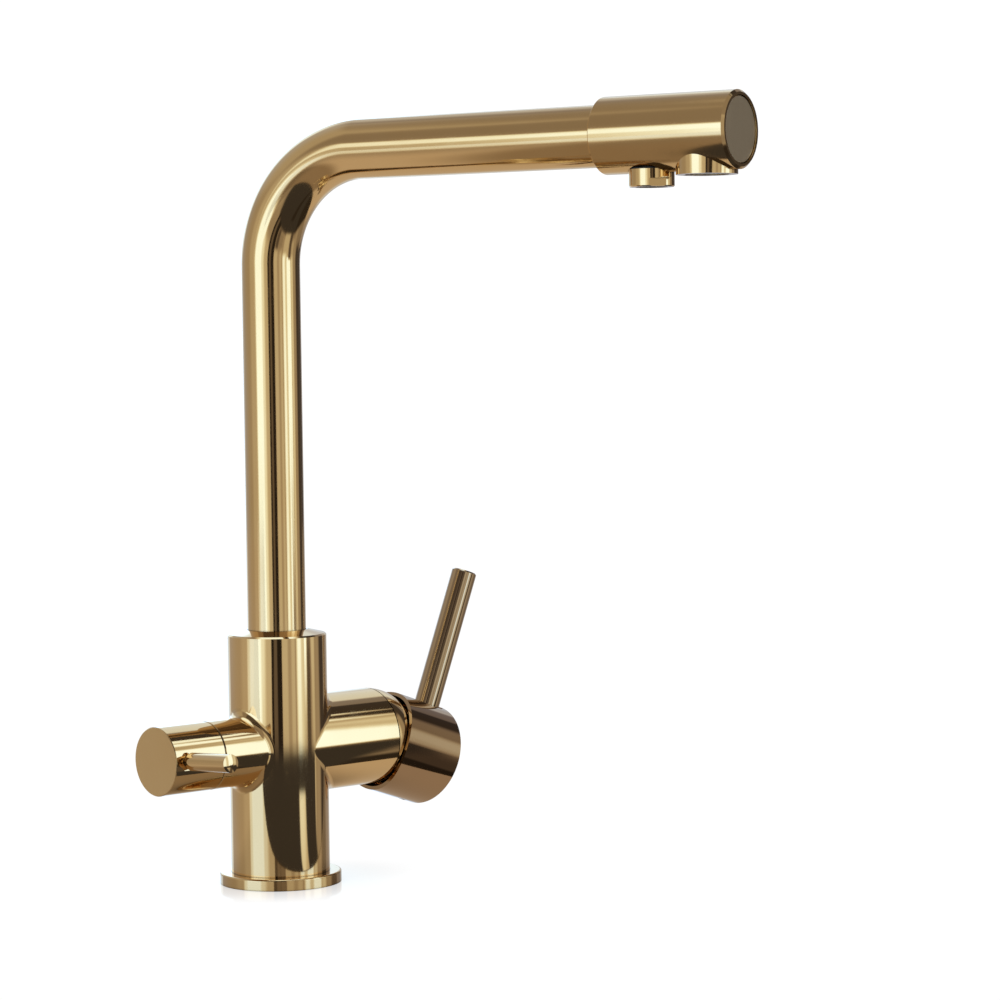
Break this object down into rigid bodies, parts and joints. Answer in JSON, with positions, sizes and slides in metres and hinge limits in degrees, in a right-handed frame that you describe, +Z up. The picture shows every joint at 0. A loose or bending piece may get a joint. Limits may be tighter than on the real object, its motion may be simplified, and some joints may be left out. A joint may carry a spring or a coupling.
{
  "type": "three way kitchen tap",
  "caption": "Tall swivelling kitchen tap with separate mixed and filtered water outlets, a side mixer lever and a small filter lever, in polished gold.",
  "frame": {"origin": "centre of the foot on the worktop surface, on the upright axis", "axes": "+Z up along the upright; +X towards the mixer lever, -X towards the filter knob; -Y towards the person at the sink, with the spout swung 15.7 degrees from -Y towards +X"},
  "size_m": [0.1751, 0.2471, 0.3779],
  "materials": {
    "gold_coating": "polished gold coating on brass",
    "plain_brass": "machined",
    "steel": "machined stainless steel",
    "black_rubber": "moulded, matte",
    "white_plastic": "moulded, satin",
    "grey_plastic": "moulded, satin",
    "ceramic": "lapped ceramic"
  },
  "bodies": {
    "root": {"body_casting": "gold_coating", "base_ring": "gold_coating", "base_gasket": "black_rubber", "mounting_shank": "plain_brass", "rubber_washer": "black_rubber", "clamp_washer": "steel", "mounting_nut": "plain_brass", "swivel_bush": "grey_plastic", "spout_lock_screw": "steel", "filter_spigot": "plain_brass", "cartridge_housing": "grey_plastic", "cartridge_base": "white_plastic", "cartridge_base_seals": "black_rubber", "fixed_disc": "ceramic", "cartridge_nut": "plain_brass", "dome_ring": "gold_coating", "filter_valve_housing": "plain_brass", "filter_fixed_disc": "ceramic", "filter_seat_seal": "black_rubber"},
    "spout": {"spout_tube": "gold_coating", "swivel_stub": "plain_brass", "stub_seals": "black_rubber", "filtered_water_tube": "white_plastic", "head_body": "gold_coating", "head_end_cap": "gold_coating", "filter_elbow": "plain_brass", "filter_nozzle": "gold_coating", "nozzle_seal": "black_rubber", "nozzle_insert": "grey_plastic", "aerator_washer": "black_rubber", "aerator_ring": "gold_coating", "aerator_core": "white_plastic"},
    "mixer_turn": {"cartridge_sleeve": "grey_plastic", "pivot_pin": "steel"},
    "mixer_lever": {"lever_stem": "steel", "mixer_cap": "gold_coating", "lever_rod": "gold_coating", "cap_grub_screw": "steel"},
    "mixer_disc": {"disc_carrier": "white_plastic", "moving_disc": "ceramic"},
    "filter_knob": {"filter_spindle": "plain_brass", "spindle_seal": "black_rubber", "filter_moving_disc": "ceramic", "filter_knob": "gold_coating", "filter_pin_lever": "gold_coating"}
  },
  "joints": [
    {"name": "spout_swivel", "type": "hinge", "parent": "root", "child": "spout", "pos_m": [0, 0, 0.095], "axis": [0, 0, 1], "continuous": true},
    {"name": "mixer_turn", "type": "hinge", "parent": "root", "child": "mixer_turn", "pos_m": [0.0365, 0, 0.0583], "axis": [1, 0, 0], "range_deg": [-54, 46]},
    {"name": "mixer_lift", "type": "hinge", "parent": "mixer_turn", "child": "mixer_lever", "pos_m": [0.0493, 0, 0.0583], "axis": [0, 0.9974, 0.0715], "range_deg": [-18.8, 1.2]},
    {"name": "disc_slide", "type": "slide", "parent": "mixer_turn", "child": "mixer_disc", "axis": [0, -0.0715, 0.9974], "range_m": [-0.0049, 0.00032]},
    {"name": "filter_turn", "type": "hinge", "parent": "root", "child": "filter_knob", "pos_m": [-0.048, 0, 0.0583], "axis": [1, 0, 0], "range_deg": [-86.6, 3.4]}
  ],
  "couplings": [
    {"joint": "disc_slide", "follows": "mixer_lift", "m_per_rad": 0.0149}
  ]
}
